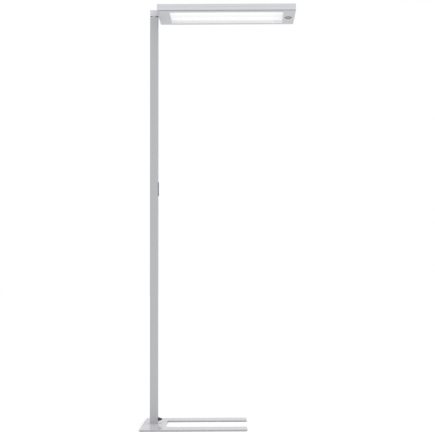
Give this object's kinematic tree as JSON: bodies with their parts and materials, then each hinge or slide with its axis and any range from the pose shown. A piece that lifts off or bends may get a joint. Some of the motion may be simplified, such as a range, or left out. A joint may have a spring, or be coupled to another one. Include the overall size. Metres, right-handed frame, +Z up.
{
  "type": "office floor lamp",
  "caption": "Free-standing office floor lamp: U-shaped steel base, square pole with switch panel, and a flat rectangular light head that swivels on the pole.",
  "frame": {"origin": "where the pole's axis meets the floor, on the underside of the pad beneath the pole", "axes": "+Z up along the pole, +X from the pole along the legs and the lamp head, +Y across the legs, away from the picture's viewer"},
  "size_m": [0.712, 0.345, 1.935],
  "materials": {
    "white_coat": "satin powder coat, warm white-grey",
    "pole_coat": "satin powder coat, light grey",
    "collar_metal": "turned, satin",
    "zinc_steel": "zinc-plated",
    "reflector_sheet": "bright rolled",
    "bush_bronze": "turned bronze",
    "black_plastic": "moulded, fine texture",
    "grey_plastic": "moulded, fine texture",
    "key_plastic": "moulded, satin",
    "white_plastic": "moulded, satin",
    "board_laminate": "green solder mask",
    "glide_rubber": "matte",
    "cable_jacket": "matte",
    "opal_acrylic": "opal, satin, lit from behind",
    "clear_acrylic": "clear, polished",
    "lens_plastic": "milky, finely grooved",
    "lamp_glass": "white coated glass tube"
  },
  "bodies": {
    "stand": {"base_plate": "white_coat", "glides": "glide_rubber", "centre_pad": "glide_rubber", "base_screws": "zinc_steel", "foot_block": "zinc_steel", "pole_tube": "pole_coat", "cable_gland": "black_plastic", "gland_nut": "black_plastic", "pole_lead": "cable_jacket", "switch_housing": "grey_plastic", "switch_board": "board_laminate", "tact_switches": "black_plastic", "pole_plug": "collar_metal", "plug_screws": "zinc_steel", "swivel_bush": "bush_bronze", "thrust_washer": "black_plastic", "stop_pin": "zinc_steel"},
    "head": {"pole_cap": "white_coat", "cap_lid": "white_coat", "swivel_spindle": "zinc_steel", "spring_washer": "zinc_steel", "spindle_nut": "zinc_steel", "arm_screws": "zinc_steel", "arm_bracket": "zinc_steel", "end_plate_inner": "white_coat", "end_plate_outer": "white_coat", "end_screws": "zinc_steel", "side_rail_front": "white_coat", "side_rail_rear": "white_coat", "top_cover": "clear_acrylic", "gear_spine": "white_coat", "terminal_block": "white_plastic", "ballast": "white_coat", "ballast_screws": "zinc_steel", "head_lead": "cable_jacket", "lampholder_front": "white_plastic", "lampholder_rear": "white_plastic", "lamp_base_front": "white_plastic", "lamp_base_rear": "white_plastic", "lamp_tube_front": "lamp_glass", "lamp_tube_rear": "lamp_glass", "lamp_clip_front": "zinc_steel", "lamp_clip_rear": "zinc_steel", "reflector_front": "reflector_sheet", "reflector_rear": "reflector_sheet", "bottom_tray": "white_coat", "tray_clips": "zinc_steel", "recess_frame": "white_plastic", "diffuser": "opal_acrylic", "sensor_ring": "grey_plastic", "sensor_lens": "lens_plastic", "sensor_board": "board_laminate"},
    "up_key": {"key_up": "key_plastic"},
    "down_key": {"key_down": "key_plastic"}
  },
  "joints": [
    {"name": "head_swivel", "type": "hinge", "parent": "stand", "child": "head", "pos_m": [0, 0, 1.9], "axis": [0, 0, 1], "range_deg": [-90, 90]},
    {"name": "up_key_press", "type": "slide", "parent": "stand", "child": "up_key", "axis": [-1, 0, 0], "range_m": [0, 0.0008], "stiffness_N_per_m": 600},
    {"name": "down_key_press", "type": "slide", "parent": "stand", "child": "down_key", "axis": [-1, 0, 0], "range_m": [0, 0.0008], "stiffness_N_per_m": 600}
  ]
}
